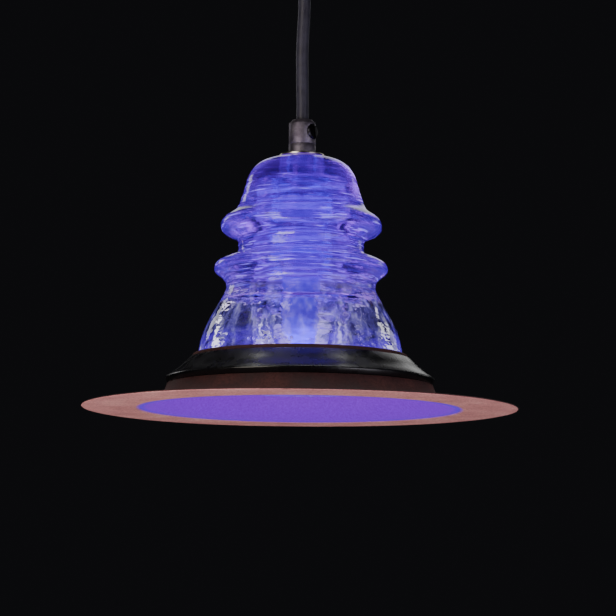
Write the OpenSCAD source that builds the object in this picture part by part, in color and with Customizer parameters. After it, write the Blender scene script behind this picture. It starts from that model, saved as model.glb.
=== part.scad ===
// Pendant lamp made from a clear glass pin insulator. It hangs on its cord from a ceiling canopy,
// and a spun steel hood with a wide flat brim hangs on the flare of the glass skirt.
// Millimetres, +Z up. The origin is the ceiling, at the middle of the canopy, on the lamp's axis.
// Heights of the lamp's own pieces are measured up from the underside of the hood's brim.

/* [Ceiling canopy] */
// Outer radius of the canopy
canopy_r = 63.5; // [60:0.5:70]
// Depth of the canopy below the ceiling
canopy_depth = 26; // [24:1:30]
// Wall thickness of the canopy
canopy_wall = 1; // [0.8:0.1:1.6]
// Distance between the middles of the two outlet-box slots
slot_spacing = 79.4; // [72:0.2:84]
// End-to-end length of each outlet-box slot
slot_length = 14; // [8:0.5:16]
// Width of each outlet-box slot
slot_width = 4.5; // [3.5:0.1:5.5]

/* [Cord] */
// Outer radius of the cord's jacket
cord_r = 2.6; // [2.2:0.1:2.8]

/* [Cord grips] */
// Outer radius of a cord grip
grip_r = 5.6; // [5.5:0.1:6.5]
// Length of a cord grip without its threaded stud
grip_length = 14.6; // [13:0.1:16]
// Outer radius of the threaded stud
stud_r = 5.1; // [4.6:0.1:5.3]
// Radius of the set screw's head
set_screw_head_r = 3.2; // [2.6:0.1:3.4]
// Direction that the lamp's set screw faces, in degrees from +X
set_screw_turn = -34; // [-90:1:90]

/* [Glass] */
// Height of the crown's flat top above the brim
crown_top = 104.2; // [102:0.1:107]
// Radius of the upper ridge
upper_ridge_r = 33.2; // [32:0.1:36]
// Radius of the lower ridge
lower_ridge_r = 35.7; // [34.5:0.1:38]
// Radius of the wire groove between the ridges
groove_r = 26; // [24.5:0.1:27]
// Height of the skirt's lower rim above the brim
skirt_bottom = 9; // [8:0.5:10]
// Radius of the hole drilled through the crown
crown_hole_r = 6; // [5.5:0.1:6.5]
// Radius of the pinhole at its upper end
pinhole_r = 12.6; // [12.4:0.1:13]
// Pitch of the pinhole's thread
thread_pitch = 6.35; // [6:0.05:7]

/* [Hood] */
// Outer radius of the brim
brim_r = 89; // [85:1:100]
// Radius of the hood's mouth, where the brim begins
mouth_r = 66; // [66:0.5:72]
// Thickness of the spun steel
steel = 1; // [0.8:0.1:1.2]

/* [Bulb] */
// Radius of the frosted envelope
bulb_r = 8; // [7:0.1:8.5]
// Height of the envelope's lower end above the brim
bulb_bottom = 28.8; // [26.8:0.5:31.8]

/* [Hidden] */

$fn = 64;
e = 0.1;                        // a cut runs this far past its face
steel_colour = "#6d6a6c";
black = "#1d1a1f";
rust = "#5b3a33";

// Where the cord leaves the canopy's grip and where it enters the lamp's grip
cord_top = -canopy_depth - grip_length - 0.4;
route = [
    [0, 0, -41], [0, 0, -45], [0.1, 0, -49], [0.3, 0, -53], [0.4, 0, -57], [0.3, 0, -61],
    [0.1, 0, -65], [-0.1, 0, -69], [-0.2, 0, -73], [-0.3, 0, -77], [-0.3, 0, -81],
    [-0.2, 0, -85], [-0.2, 0, -89], [-0.1, 0, -93], [0, 0, -97], [0, 0, -101], [0, 0, -105]
];
brim_drop = 225.3;              // from the ceiling down to the brim's underside
grip_top = 120.3;               // the lamp's grip, washers and bracket, above the brim
grip_bottom = grip_top - grip_length;
washer_t = 0.9;
gasket_t = 0.6;
crown_t = 10;
pinhole_top = crown_top - crown_t;
inner_gasket_t = 0.8;
inner_washer_t = 1;
bracket_t = 1.2;
nut_t = 3;
washer_top = grip_bottom;
bracket_top = pinhole_top - inner_gasket_t - inner_washer_t;
nut_top = bracket_top - bracket_t;
stud_end = nut_top - nut_t - 1.4;
nut_flats = 14;

grip_bore_r = cord_r + 0.3;
set_screw_r = 1.5;
set_screw_seat = grip_r - 1;
set_screw_drop = 5.2;           // from the grip's cord end to the set screw's axis

holder_r = 9.2;
holder_top = 83.8;
holder_bottom = 63.8;
holder_screw_h = holder_top - 5;
socket_y = 4.5;                 // half the distance between the bulb's two pins
pin_w = 2.8;
pin_t = 0.8;
pin_length = 10;
base_bottom = 51.8;
base_top = holder_bottom - 0.3;
board_r = 3.2;

thumb_z = -8;
thumb_r = 1.95;
ear_face = canopy_r - canopy_wall - 1.3;
bracket_w = 18;
ground_x = 18;
ground_r = 2;

neck_top = 22.4;
shelf_h = 9.9;                  // the hood's shelf under the collar's rim
neck_r = 42.65;
flare_r = 12;

function unit(v) = v / norm(v);

// Points of an arc about [x, z]
function arc(x, z, r, from, to, steps = 6) =
    [for (i = [0:steps]) let (a = from + (to - from) * i / steps) [x + r * cos(a), z + r * sin(a)]];

// A round tube swept along a route, with flat ends. aside is a direction that the route never follows
module tube(points, radius, sides = 8, aside = [0, 1, 0.001]) {
    last = len(points) - 1;
    skin = [
        for (i = [0:last])
            let (along = unit(points[min(i + 1, last)] - points[max(i - 1, 0)]),
                 across = unit(cross(along, aside)),
                 up = cross(along, across))
                for (k = [0:sides - 1])
                    points[i] + radius * (cos(360 * k / sides) * across + sin(360 * k / sides) * up)
    ];
    sides_faces = [
        for (i = [0:last - 1]) for (k = [0:sides - 1])
            let (a = i * sides + k, b = i * sides + (k + 1) % sides)
                each [[a, a + sides, b + sides], [a, b + sides, b]]
    ];
    first_cap = [for (k = [0:sides - 1]) k];
    last_cap = [for (k = [sides - 1:-1:0]) last * sides + k];
    polyhedron(skin, concat(sides_faces, [first_cap, last_cap]));
}

module ring(outer, inner, bottom, top) {
    translate([0, 0, bottom]) difference() {
        cylinder(r = outer, h = top - bottom);
        translate([0, 0, -e]) cylinder(r = inner, h = top - bottom + 2 * e);
    }
}

module hex_nut(flats, bore, bottom, thickness) {
    translate([0, 0, bottom]) difference() {
        cylinder(r = flats / 2 / cos(30), h = thickness, $fn = 6);
        translate([0, 0, -e]) cylinder(r = bore, h = thickness + 2 * e);
    }
}

// Places a lamp piece whose heights are above the brim
module hung() translate([0, 0, -brim_drop]) children();

// Turns the local +X axis outwards along a set screw, at the grip's screw height
module set_screw_axis(turn) rotate([0, 0, turn]) rotate([0, 90, 0]) children();

// A cord grip standing on z = 0 with its stud below and its cord end on top
module grip(stud_length, turn) {
    chamfer = 1.6;
    difference() {
        union() {
            cylinder(r = grip_r, h = grip_length - chamfer);
            translate([0, 0, grip_length - chamfer])
                cylinder(r1 = grip_r, r2 = grip_r - chamfer, h = chamfer);
            translate([0, 0, -stud_length]) cylinder(r = stud_r, h = stud_length);
        }
        translate([0, 0, -stud_length - e])
            cylinder(r = grip_bore_r, h = stud_length + grip_length + 2 * e);
        translate([0, 0, grip_length - 0.8]) cylinder(r1 = grip_bore_r, r2 = grip_bore_r + 0.9, h = 0.9);
        translate([0, 0, grip_length - set_screw_drop]) set_screw_axis(turn) {
            cylinder(r = set_screw_r + 0.08, h = grip_r + 1);
            translate([0, 0, set_screw_seat]) cylinder(r = set_screw_head_r + 0.15, h = 4);
        }
    }
}

module slotted_set_screw(turn) {
    head = set_screw_seat + 0.1;
    head_t = 1.3;
    set_screw_axis(turn) difference() {
        union() {
            translate([0, 0, cord_r + 0.1]) cylinder(r = set_screw_r, h = head - cord_r);
            translate([0, 0, head]) cylinder(r = set_screw_head_r, h = head_t - 0.4);
            translate([0, 0, head + head_t - 0.4])
                cylinder(r1 = set_screw_head_r, r2 = set_screw_head_r - 0.4, h = 0.4);
        }
        translate([-4, -0.45, head + head_t - 0.7]) cube([8, 0.9, 1]);
    }
}

// ---- ceiling pieces ----

module mounting_bracket() {
    strap_t = 2;
    ear = 14;
    color(steel_colour) difference() {
        union() {
            translate([-ear_face, -bracket_w / 2, -strap_t]) cube([2 * ear_face, bracket_w, strap_t]);
            for (side = [-1, 1])
                translate([side * (ear_face - strap_t / 2) - strap_t / 2, -bracket_w / 2, -ear])
                    cube([strap_t, bracket_w, ear - strap_t / 2]);
        }
        for (side = [-1, 1]) {
            translate([side * slot_spacing / 2, 0, -strap_t - e]) linear_extrude(strap_t + 2 * e) {
                square([slot_length - slot_width, slot_width], center = true);
                for (end = [-1, 1])
                    translate([end * (slot_length - slot_width) / 2, 0]) circle(d = slot_width);
            }
            translate([side * (ear_face - strap_t / 2), 0, thumb_z]) rotate([0, 90, 0])
                cylinder(r = thumb_r + 0.05, h = strap_t + 2 * e, center = true);
        }
        translate([ground_x, 0, -strap_t - e]) cylinder(r = ground_r + 0.05, h = strap_t + 2 * e);
    }
}

module ground_screw() {
    color("#2f6b3a") translate([ground_x, 0, 0]) difference() {
        union() {
            translate([0, 0, -2]) cylinder(r = ground_r, h = 2);
            translate([0, 0, -4.4]) cylinder(r1 = 3.4, r2 = 4, h = 2.4);
        }
        translate([-5, -0.5, -4.4 - e]) cube([10, 1, 1.1 + e]);
    }
}

module canopy() {
    corner = 6;
    color(black) difference() {
        rotate_extrude() polygon(concat(
            [[stud_r + 0.1, -canopy_depth]],
            arc(canopy_r - corner, corner - canopy_depth, corner, -90, 0),
            [[canopy_r, 0], [canopy_r - canopy_wall, 0]],
            arc(canopy_r - corner, corner - canopy_depth, corner - canopy_wall, 0, -90),
            [[stud_r + 0.1, canopy_wall - canopy_depth]]
        ));
        translate([0, 0, thumb_z]) rotate([0, 90, 0])
            cylinder(r = thumb_r + 0.15, h = 2 * canopy_r + 2, center = true);
    }
}

module thumb_screw(side) {
    head_r = 4.5;
    head_t = 5;
    notches = 16;
    color(black) rotate([0, 0, side > 0 ? 0 : 180]) translate([0, 0, thumb_z]) rotate([0, 90, 0]) {
        translate([0, 0, ear_face - 4]) cylinder(r = thumb_r, h = canopy_r - ear_face + 4.5);
        translate([0, 0, canopy_r + 0.1]) difference() {
            union() {
                cylinder(r = head_r, h = head_t - 0.6);
                translate([0, 0, head_t - 0.6]) cylinder(r1 = head_r, r2 = head_r - 0.6, h = 0.6);
            }
            for (k = [1:notches]) rotate([0, 0, 360 * k / notches])
                translate([head_r + 0.15, 0, 0.8]) cylinder(r = 0.45, h = head_t);
        }
    }
}

module canopy_cord_grip() {
    color(steel_colour) translate([0, 0, -canopy_depth]) mirror([0, 0, 1]) grip(9, -40);
}

module canopy_grip_screw() {
    color(black) translate([0, 0, -canopy_depth - grip_length + set_screw_drop]) slotted_set_screw(-40);
}

module canopy_star_washer() {
    teeth = 12;
    color(steel_colour) {
        ring(7.4, stud_r + 0.1, canopy_wall - canopy_depth, canopy_wall + 0.8 - canopy_depth);
        for (k = [1:teeth]) rotate([0, 0, 360 * k / teeth])
            translate([7.2, -0.7, canopy_wall - canopy_depth]) cube([1.6, 1.4, 0.8]);
    }
}

module canopy_lock_nut() {
    color(steel_colour) hex_nut(nut_flats, stud_r + 0.05, canopy_wall + 0.8 - canopy_depth, nut_t);
}

module canopy_jacket_end() {
    color("#37343c") translate([0, 0, cord_top]) cylinder(r = cord_r, h = 27);
}

// Two stripped conductors, one to each wire connector
module canopy_leads() {
    for (side = [-1, 1])
        color(side > 0 ? "#e8e4da" : black) tube([
            [side * 1.3, 0, -14], [side * 1.3, 0, -12], [side * 2.4, 0.4, -9.6], [side * 4.8, 1.4, -7.8],
            [side * 8, 3.4, -7], [side * 11, 6.6, -7], [side * 13.4, 11, -7.8], [side * 14.6, 15, -9],
            [side * 15, 19, -9.8], [side * 15, 24, -10]
        ], 0.9, aside = [side, -0.6, 0.3]);
}

module wire_connectors() {
    fins = 6;
    for (side = [-1, 1])
        color("#b5652a") translate([side * 15, 22, -10]) rotate([-90, 0, 0]) difference() {
            union() {
                cylinder(r1 = 5.4, r2 = 5, h = 5);
                translate([0, 0, 5]) cylinder(r1 = 4.9, r2 = 2.8, h = 13);
                for (k = [1:fins]) rotate([0, 0, 360 * k / fins])
                    translate([3, -0.5, 4]) cube([1.7, 1, 8]);
            }
            translate([0, 0, -e]) cylinder(r1 = 4, r2 = 2, h = 8);
        }
}

// ---- the hanging cord ----

module cord() {
    color("#37343c") tube(route, cord_r, 10);
}

// ---- the lamp ----

module cord_grip() {
    color(steel_colour) hung() translate([0, 0, grip_bottom]) grip(grip_bottom - stud_end, set_screw_turn);
}

module grip_screw() {
    color(black) hung() translate([0, 0, grip_top - set_screw_drop]) slotted_set_screw(set_screw_turn);
}

module crown_washer() {
    color("#cfc8bf") hung() ring(9.4, stud_r + 0.1, washer_top - washer_t, washer_top);
}

module crown_gasket() {
    color("#e2dccf") hung() ring(9, stud_r + 0.1, crown_top, washer_top - washer_t);
}

// Half section of the glass: outside from the crown down, then inside back up
module glass_section() {
    thread_depth = 0.9;
    threads = 6;
    thread_top = pinhole_top - 3;
    taper = 0.03;
    upper_h = 75.9;
    lower_h = 57.9;
    groove_top = 69.7;
    groove_bottom = 64.9;
    function bore(h) = pinhole_r + (pinhole_top - h) * taper;
    polygon(concat(
        [[crown_hole_r, crown_top]],
        arc(11, crown_top - 12.2, 12.2, 90, 8, 8),
        [[24.3, 89.6]],
        arc(28.6, 84.9, 2.9, 184, 232, 4),
        arc(upper_ridge_r - 3, upper_h + 0.6, 3, 56, 4, 5),
        arc(upper_ridge_r - 3, upper_h - 0.7, 3, -4, -60, 5),
        arc(groove_r + 1.4, groove_top, 1.4, 114, 180, 4),
        arc(groove_r + 1.4, groove_bottom, 1.4, 180, 240, 4),
        arc(lower_ridge_r - 3.2, lower_h + 0.1, 3.2, 62, 4, 5),
        arc(lower_ridge_r - 3.2, lower_h - 0.1, 3.2, -4, -54, 5),
        arc(34.4, 51.3, 3.6, 140, 204, 5),
        [[31.8, 47.2], [33.2, 44.3], [36.3, 38.8], [38.6, 34.4], [40.4, 29.8], [41.5, 25.2], [42.1, 21]],
        [[42.6, 18], [43.2, 14.5]],
        arc(41.8, skirt_bottom + 2.2, 2, 20, -90, 5),
        [[39.4, skirt_bottom]],
        arc(39.2, skirt_bottom + 1.2, 1.2, -90, -190, 4),
        [[36.8, 18], [34.6, 26.4], [31.6, 34]],
        arc(25, 39, 5, 15, 165, 8),
        [[19.6, 32], [19.2, 24]],
        arc(17, 21, 2.2, 0, -180, 6),
        [[bore(46), 46]],
        [for (k = [0:threads - 1]) let (h = thread_top - (threads - k) * thread_pitch)
            each [for (p = [[0, 0], [0.25, 0.5], [0.5, 1], [0.75, 0.5]])
                [bore(h) - thread_depth * (1 - p[1]), h + p[0] * thread_pitch]]],
        [[bore(thread_top) - thread_depth, thread_top], [pinhole_r - 0.6, pinhole_top - 1.4]],
        arc(pinhole_r - 2.4, pinhole_top - 1.8, 1.8, 12, 90, 3),
        [[crown_hole_r, pinhole_top]]
    ));
}

module glass_insulator() {
    color([0.62, 0.62, 1, 0.5]) hung() rotate_extrude($fn = 96) glass_section();
}

module inner_gasket() {
    color("#3a3a3a") hung() ring(9, stud_r + 0.1, pinhole_top - inner_gasket_t, pinhole_top);
}

module inner_washer() {
    color(steel_colour) hung() ring(9.4, stud_r + 0.1, bracket_top, bracket_top + inner_washer_t);
}

module lock_nut() {
    color(steel_colour) hung() hex_nut(nut_flats, stud_r + 0.05, nut_top - nut_t, nut_t);
}

module lamp_jacket_end() {
    color("#37343c") hung() translate([0, 0, stud_end - 1]) cylinder(r = cord_r, h = grip_top - stud_end + 1);
}

// Two conductors from the cord's end to the lampholder's contacts
module lamp_leads() {
    for (side = [-1, 1])
        color(side > 0 ? "#e8e4da" : black) hung() tube([
            [0, side * 1.1, stud_end - 1], [0, side * 1.1, stud_end - 1.6],
            [0, side * 2.6, stud_end - 2.1], [0, side * 4.1, stud_end - 2.6], [0, side * 4.5, holder_top - 0.8],
            [0, side * 4.5, holder_top - 3]
        ], 0.6);
}

module holder_bracket() {
    leg_w = 7;
    leg_bottom = holder_top - 9;
    color(steel_colour) hung() difference() {
        union() {
            translate([0, 0, nut_top]) cylinder(r = 10, h = bracket_t);
            for (side = [-1, 1])
                translate([side * (holder_r + bracket_t / 2) - bracket_t / 2, -leg_w / 2, leg_bottom])
                    cube([bracket_t, leg_w, bracket_top - leg_bottom]);
        }
        translate([0, 0, nut_top - e]) cylinder(r = stud_r + 0.1, h = bracket_t + 2 * e);
        translate([0, 0, holder_screw_h]) rotate([0, 90, 0]) cylinder(r = 1.3, h = 24, center = true);
    }
}

module bracket_screws() {
    color("#b08d4a") hung() for (side = [0, 180])
        rotate([0, 0, side]) translate([0, 0, holder_screw_h]) rotate([0, 90, 0]) {
            translate([0, 0, holder_r - 2.4]) cylinder(r = 1.25, h = 3.8);
            translate([0, 0, holder_r + bracket_t]) cylinder(r1 = 2.3, r2 = 1.6, h = 0.9);
        }
}

module lampholder() {
    color("#ece7dc") hung() difference() {
        intersection() {
            translate([0, 0, holder_bottom]) cylinder(r = holder_r + 0.6, h = holder_top - holder_bottom);
            translate([-holder_r, -12, holder_bottom - e]) cube([2 * holder_r, 24, 30]);
        }
        for (side = [-1, 1]) {
            translate([-2.2, side * socket_y - 1.5, holder_bottom - e]) cube([4.4, 3, 13]);
            translate([0, side * socket_y, holder_bottom]) cylinder(r = 1.3, h = 30);
            translate([side * (holder_r - 1.5), 0, holder_screw_h]) rotate([0, 90, 0])
                cylinder(r = 1.3, h = 5, center = true);
        }
    }
}

module holder_contacts() {
    leaf = 0.4;
    color("#b08d4a") hung() for (side = [-1, 1]) for (face = [-1, 1])
        translate([-1.8, side * socket_y + face * 0.85 - leaf / 2, holder_bottom + 2]) cube([3.6, leaf, 10.9]);
}

module bulb_base() {
    color("#e9e6e0") hung() {
        translate([0, 0, base_bottom + 3]) cylinder(r1 = bulb_r - 0.3, r2 = bulb_r - 1, h = base_top - base_bottom - 3);
        translate([0, 0, base_bottom]) cylinder(r = bulb_r - 1, h = 3);
    }
}

module bulb_pins() {
    color("#c9c9cc") hung() for (side = [-1, 1])
        translate([0, side * socket_y + pin_t / 2, base_top]) rotate([90, 0, 0]) linear_extrude(pin_t)
            difference() {
                union() {
                    translate([-pin_w / 2, 0]) square([pin_w, pin_length - pin_w / 2]);
                    translate([0, pin_length - pin_w / 2]) circle(d = pin_w);
                }
                translate([-pin_w / 2 + 0.7, -e]) square([pin_w - 1.4, pin_length - pin_w / 2]);
                translate([0, pin_length - pin_w / 2]) circle(d = pin_w - 1.4);
            }
}

module bulb_envelope() {
    wall = 0.9;
    color([0.6, 0.6, 1]) hung() rotate_extrude() polygon(concat(
        [[0, bulb_bottom]],
        arc(0, bulb_bottom + bulb_r, bulb_r, -90, 0, 10),
        [[bulb_r, base_bottom + 2.9], [bulb_r - wall, base_bottom + 2.9]],
        arc(0, bulb_bottom + bulb_r, bulb_r - wall, 0, -90, 10)
    ));
}

module led_board() {
    chips = 5;
    board_t = 1;
    color("#e7e9f2") hung() {
        translate([-board_r, -board_t / 2, bulb_bottom + 4])
            cube([2 * board_r, board_t, base_bottom - bulb_bottom - 4]);
        for (k = [0:chips - 1]) for (face = [-1, 1])
            translate([-1.4, face * (board_t / 2 + 0.4) - 0.4, bulb_bottom + 5.6 + 3.4 * k]) cube([2.8, 0.8, 2]);
    }
}

// ---- the hood ----

// Middle line of the hood's outer face, from the neck's lip to the brim's edge
module hood_section() {
    lip = 0.75;
    cone_foot = mouth_r - flare_r * cos(15) - 2;
    polygon(concat(
        [[neck_r, 19.2], [neck_r, neck_top - lip]],
        arc(neck_r + lip, neck_top - lip, lip, 180, 0, 6),
        [[neck_r + 2 * lip, neck_top - 2.2], [neck_r + steel, neck_top - 2.6], [neck_r + steel, 19.6]],
        [[cone_foot, shelf_h]],
        arc(mouth_r, flare_r + steel, flare_r, 195, 270, 8),
        [[brim_r - 0.4, steel], [brim_r, steel - 0.4], [brim_r, 0.3], [brim_r - 0.3, 0], [mouth_r, 0]],
        arc(mouth_r, flare_r + steel, flare_r + steel, 270, 195 + 4, 8),
        [[cone_foot - 0.5, shelf_h - steel]]
    ));
}

module hood() {
    color(rust) hung() rotate_extrude($fn = 128) hood_section();
}

module hood_collar() {
    rim_r = 55;
    color(black) hung() rotate_extrude($fn = 128) polygon(concat(
        [[neck_r + 1.8, 19.9], [neck_r + 1.8, 20.6], [neck_r + 2.4, 20.8]],
        arc(rim_r - 0.7, 12.2, 0.7, 45, -20, 4),
        [[54.3, shelf_h + 0.1], [mouth_r - flare_r * cos(15) - 1.9, shelf_h + 0.1]]
    ));
}

module neck_gasket() {
    color("#2b2522") hung() rotate_extrude() polygon([
        [neck_r - 0.08, neck_top - 0.6], [neck_r - 0.45, neck_top - 0.6], [neck_r - 0.08, 19.8]
    ]);
}

mounting_bracket();
ground_screw();
canopy();
thumb_screw(-1);  // thumb_screw_left
thumb_screw(1);  // thumb_screw_right
canopy_cord_grip();
canopy_grip_screw();
canopy_star_washer();
canopy_lock_nut();
canopy_jacket_end();
canopy_leads();
wire_connectors();
cord();
cord_grip();
grip_screw();
crown_washer();
crown_gasket();
glass_insulator();
inner_gasket();
inner_washer();
lock_nut();
lamp_jacket_end();
lamp_leads();
holder_bracket();
bracket_screws();
lampholder();
holder_contacts();
bulb_base();
bulb_pins();
bulb_envelope();
led_board();
hood();
hood_collar();
neck_gasket();
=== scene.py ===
"""Builds the finished look of a pendant lamp made from a clear glass pin insulator.

Run as a script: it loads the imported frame, makes each piece with one operator, and adds a plain studio.
Sizes in outlines are in millimetres: radius from the lamp's axis, and height above the hood's brim or
another named level. Objects are in metres in the frame's space: +Z up, the ceiling at z = 0.
"""
import math

import bpy
from bpy.props import FloatProperty, FloatVectorProperty, IntProperty, PointerProperty
from mathutils import Matrix, Vector, noise


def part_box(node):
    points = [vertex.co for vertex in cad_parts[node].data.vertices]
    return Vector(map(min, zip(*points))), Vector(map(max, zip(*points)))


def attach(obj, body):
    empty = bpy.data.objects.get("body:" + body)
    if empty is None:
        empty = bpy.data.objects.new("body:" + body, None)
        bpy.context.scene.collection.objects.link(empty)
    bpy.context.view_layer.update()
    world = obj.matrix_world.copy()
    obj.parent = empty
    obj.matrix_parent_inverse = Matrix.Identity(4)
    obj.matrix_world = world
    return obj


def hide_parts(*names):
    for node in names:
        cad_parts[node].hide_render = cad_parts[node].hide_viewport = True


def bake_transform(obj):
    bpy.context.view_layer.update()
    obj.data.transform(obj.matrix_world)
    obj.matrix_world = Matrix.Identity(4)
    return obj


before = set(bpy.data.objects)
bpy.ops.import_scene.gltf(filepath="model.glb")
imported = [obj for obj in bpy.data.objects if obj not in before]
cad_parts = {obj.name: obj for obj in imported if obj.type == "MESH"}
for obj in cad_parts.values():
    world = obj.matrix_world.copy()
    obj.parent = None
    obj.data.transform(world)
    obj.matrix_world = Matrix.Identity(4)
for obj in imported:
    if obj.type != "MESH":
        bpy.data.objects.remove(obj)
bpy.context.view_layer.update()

bl_info = {
    "name": "Insulator Pendant Lamp",
    "version": (1, 0, 0),
    "blender": (4, 5, 0),
    "location": "View3D > Sidebar > Lamp",
    "description": "Glass insulator pendant lamp with a spun hood, on a cord from a canopy",
    "category": "Add Mesh",
}

MM = 0.001
TAU = 2 * math.pi
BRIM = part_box("hood")[0][2]             # height of the underside of the hood's brim
GRIP_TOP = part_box("cord_grip")[1][2]    # where the cord enters the lamp's grip
CANOPY_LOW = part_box("canopy")[0][2]     # the canopy's flat lower face
CROWN_TOP = round((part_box("glass_insulator")[1][2] - BRIM) / MM, 2)    # the glass's height above the brim, mm
PINHOLE_TOP = CROWN_TOP - 10            # the crown is 10 mm thick over the pinhole
PINHOLE_TAPER = 0.03                    # how much the pinhole's radius grows for each mm down
HOOD_NECK = 42.65                       # radius of the hood's neck, mm
HOOD_MOUTH = 66                         # radius of the hood's mouth, where its brim begins, mm
FLARE = 12                              # radius of the flare between the hood's shelf and its brim, mm
CANOPY_RADIUS = 63.5                    # mm
THUMB_SCREW_LEVEL = -8 * MM             # height of the thumb screws' axis
GRIP_LENGTH = 14.6                      # a cord grip without its stud
SCREW_DROP = 5.2                        # from a grip's cord end to its set screw's axis
LAMP_SCREW_TURN = math.radians(-34)     # the way the lamp's set screw faces
CANOPY_SCREW_TURN = math.radians(-40)   # the way the canopy's set screw faces

# The cord's centreline, from the canopy's grip down to the lamp's grip
CORD_ROUTE = [
    (0, 0, -0.041), (0, 0, -0.045), (0.0001, 0, -0.049), (0.0003, 0, -0.053), (0.0004, 0, -0.057),
    (0.0003, 0, -0.061), (0.0001, 0, -0.065), (-0.0001, 0, -0.069), (-0.0002, 0, -0.073),
    (-0.0003, 0, -0.077), (-0.0003, 0, -0.081), (-0.0002, 0, -0.085), (-0.0002, 0, -0.089),
    (-0.0001, 0, -0.093), (0, 0, -0.097), (0, 0, -0.101), (0, 0, -0.105),
]


def above(height):
    """The place on the Z axis of a height in mm above the brim."""
    return BRIM + height * MM


class LampProperties(bpy.types.PropertyGroup):
    """The sizes and colours that a user would change."""

    glass_steps: IntProperty(
        name="Glass steps", description="Segments round the glass and the hood", default=144, min=48, max=192)
    thread_pitch: FloatProperty(
        name="Thread pitch", description="Rise of the pinhole's thread in one turn", default=6.35 * MM,
        unit="LENGTH", precision=5)
    thread_depth: FloatProperty(
        name="Thread depth", description="How far the thread stands out of the pinhole's wall",
        default=1.0 * MM, unit="LENGTH", precision=5)
    cord_diameter: FloatProperty(
        name="Cord diameter", description="Outside diameter of the cord's jacket", default=5.2 * MM,
        unit="LENGTH", precision=5)
    bulb_glow: FloatProperty(
        name="Bulb glow", description="Emission strength of the frosted envelope", default=0.5, min=0)
    # thread_glow, glass_glow and bell_glow set painted light: the bulb's light painted as a glow on the glass
    # and inside the hood
    thread_glow: FloatProperty(
        name="Thread glow", description="Light that the pinhole's wall catches from the bulb",
        default=0.44, min=0)
    glass_glow: FloatProperty(
        name="Glass glow", description="Light that shows in the body of the crown and the ridges",
        default=0.15, min=0)
    bell_glow: FloatProperty(
        name="Bell glow", description="The bulb's light on the inside of the hood", default=0.7, min=0)
    bulb_colour: FloatVectorProperty(
        name="Bulb colour", description="Colour of the bulb's light", subtype="COLOR", size=3,
        default=(0.1, 0.01, 1.0), min=0, max=1)
    floor_drop: FloatProperty(
        name="Floor drop", description="Distance from the ceiling to the studio floor", default=0.75,
        unit="LENGTH")


# ---------------------------------------------------------------- colours and nodes

def linear(colour):
    """Turns an sRGB hex colour, such as #3b2f2a, into linear red, green, blue and alpha."""
    values = [int(colour[i:i + 2], 16) / 255 for i in (1, 3, 5)]
    return [v / 12.92 if v <= 0.04045 else ((v + 0.055) / 1.055) ** 2.4 for v in values] + [1.0]


def add_node(tree, kind, inputs=(), stops=(), feeds=None, **settings):
    """Adds a node, sets its properties and fills its inputs. Returns its outputs.

    inputs is a list in socket order, or a dictionary by socket name or number: a socket is linked, and
    anything else is set as a value. stops are a colour ramp's (position, sRGB hex colour) pairs. feeds is
    a socket that the node's first output is linked to."""
    made = tree.nodes.new("ShaderNode" + kind)
    for key, value in settings.items():
        setattr(made, key, value)
    for socket, source in inputs.items() if isinstance(inputs, dict) else enumerate(inputs):
        if isinstance(source, bpy.types.NodeSocket):
            tree.links.new(source, made.inputs[socket])
        else:
            made.inputs[socket].default_value = source
    if stops:
        elements = made.color_ramp.elements
        while len(elements) < len(stops):
            elements.new(0.5)
        for element, (position, colour) in zip(elements, stops):
            element.position = position
            element.color = linear(colour)
    if feeds is not None:
        tree.links.new(made.outputs[0], feeds)
    return made.outputs


def new_material(name, colour, **sockets):
    """A material with one Principled shader. Returns it, its tree, the shader's inputs and Object place."""
    made = bpy.data.materials.new(name)
    made.use_nodes = True
    tree = made.node_tree
    skin = tree.nodes["Principled BSDF"].inputs
    skin["Base Color"].default_value = linear(colour)
    for socket, value in sockets.items():
        skin[socket.replace("_", " ")].default_value = value
    return made, tree, skin, add_node(tree, "TexCoord")["Object"]


def grain(tree, place, size, detail=3.0, rough=0.6, squeeze=(1, 1, 1)):
    """A pattern with features about size metres across, squeezed along each axis by squeeze."""
    spread = add_node(tree, "Mapping", {"Vector": place, "Scale": squeeze})["Vector"]
    return add_node(tree, "TexNoise", {"Vector": spread, "Scale": 1 / size, "Detail": detail,
                                       "Roughness": rough})["Fac"]


def radius_and_height(tree, place):
    """Distance from the lamp's axis, and height in the frame."""
    parts = add_node(tree, "SeparateXYZ", [place])
    flat = add_node(tree, "CombineXYZ", [parts["X"], parts["Y"]])["Vector"]
    return add_node(tree, "VectorMath", [flat], operation="LENGTH")["Value"], parts["Z"]


# ---------------------------------------------------------------- finishes

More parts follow.
